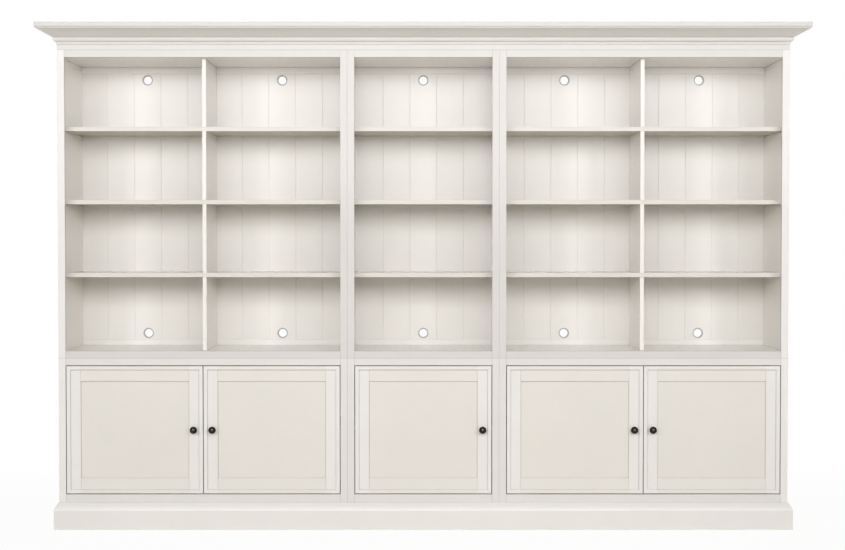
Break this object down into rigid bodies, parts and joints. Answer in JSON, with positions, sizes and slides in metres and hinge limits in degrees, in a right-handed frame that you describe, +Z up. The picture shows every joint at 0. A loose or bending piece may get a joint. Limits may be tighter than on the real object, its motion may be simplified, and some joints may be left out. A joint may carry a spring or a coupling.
{
  "type": "display bookcase",
  "caption": "Painted wall bookcase: open shelved hutches with grooved backs and cable holes over cabinets with inset doors, under one crown moulding and on one plinth.",
  "frame": {"origin": "middle of the overall footprint, crown included, at floor level", "axes": "+Z up, -Y towards the front, +X to the right as seen from the front"},
  "size_m": [3.512, 0.534, 2.311],
  "materials": {
    "case_paint": "satin off-white paint on wood",
    "back_paint": "satin off-white paint on grooved board",
    "door_paint": "satin off-white paint on wood",
    "trim_paint": "satin off-white paint on moulded wood",
    "knob_bronze": "dark oil-rubbed bronze",
    "hardware_steel": "bright zinc",
    "moulded_nylon": "off-white nylon"
  },
  "bodies": {
    "cabinet": {"left_hutch_sides": "case_paint", "left_hutch_frame": "case_paint", "left_hutch_shelves": "case_paint", "left_base_sides": "case_paint", "left_base_frame": "case_paint", "left_hutch_back": "back_paint", "left_hutch_dividers": "case_paint", "centre_hutch_sides": "case_paint", "centre_hutch_frame": "case_paint", "centre_hutch_shelves": "case_paint", "centre_base_sides": "case_paint", "centre_base_frame": "case_paint", "centre_hutch_back": "back_paint", "right_hutch_sides": "case_paint", "right_hutch_frame": "case_paint", "right_hutch_shelves": "case_paint", "right_base_sides": "case_paint", "right_base_frame": "case_paint", "right_hutch_back": "back_paint", "right_hutch_dividers": "case_paint", "hutch_tops": "case_paint", "hutch_bottoms": "case_paint", "base_tops": "case_paint", "base_bottoms": "case_paint", "base_shelves": "case_paint", "hutch_back_strips": "back_paint", "base_backs": "back_paint", "shelf_pins": "hardware_steel", "connector_bolts": "hardware_steel", "joining_plates": "hardware_steel", "anti_tip_brackets": "hardware_steel", "pivot_pins": "hardware_steel", "levelling_glides": "moulded_nylon", "door_catches": "moulded_nylon", "crown_front": "trim_paint", "crown_left": "trim_paint", "crown_right": "trim_paint", "plinth_front": "trim_paint", "plinth_left": "trim_paint", "plinth_right": "trim_paint"},
    "door_1": {"door_1_frame": "door_paint", "door_1_panel": "door_paint", "door_1_knob": "knob_bronze", "door_1_hardware": "hardware_steel"},
    "door_2": {"door_2_frame": "door_paint", "door_2_panel": "door_paint", "door_2_knob": "knob_bronze", "door_2_hardware": "hardware_steel"},
    "door_3": {"door_3_frame": "door_paint", "door_3_panel": "door_paint", "door_3_knob": "knob_bronze", "door_3_hardware": "hardware_steel"},
    "door_4": {"door_4_frame": "door_paint", "door_4_panel": "door_paint", "door_4_knob": "knob_bronze", "door_4_hardware": "hardware_steel"},
    "door_5": {"door_5_frame": "door_paint", "door_5_panel": "door_paint", "door_5_knob": "knob_bronze", "door_5_hardware": "hardware_steel"}
  },
  "joints": [
    {"name": "door_1_hinge", "type": "hinge", "parent": "cabinet", "child": "door_1", "pos_m": [-1.609, -0.172, 0.4565], "axis": [0, 0, -1], "range_deg": [0, 90]},
    {"name": "door_2_hinge", "type": "hinge", "parent": "cabinet", "child": "door_2", "pos_m": [-0.411, -0.172, 0.4565], "axis": [0, 0, 1], "range_deg": [0, 90]},
    {"name": "door_3_hinge", "type": "hinge", "parent": "cabinet", "child": "door_3", "pos_m": [-0.285, -0.172, 0.4565], "axis": [0, 0, -1], "range_deg": [0, 90]},
    {"name": "door_4_hinge", "type": "hinge", "parent": "cabinet", "child": "door_4", "pos_m": [0.411, -0.172, 0.4565], "axis": [0, 0, -1], "range_deg": [0, 90]},
    {"name": "door_5_hinge", "type": "hinge", "parent": "cabinet", "child": "door_5", "pos_m": [1.609, -0.172, 0.4565], "axis": [0, 0, 1], "range_deg": [0, 90]}
  ]
}
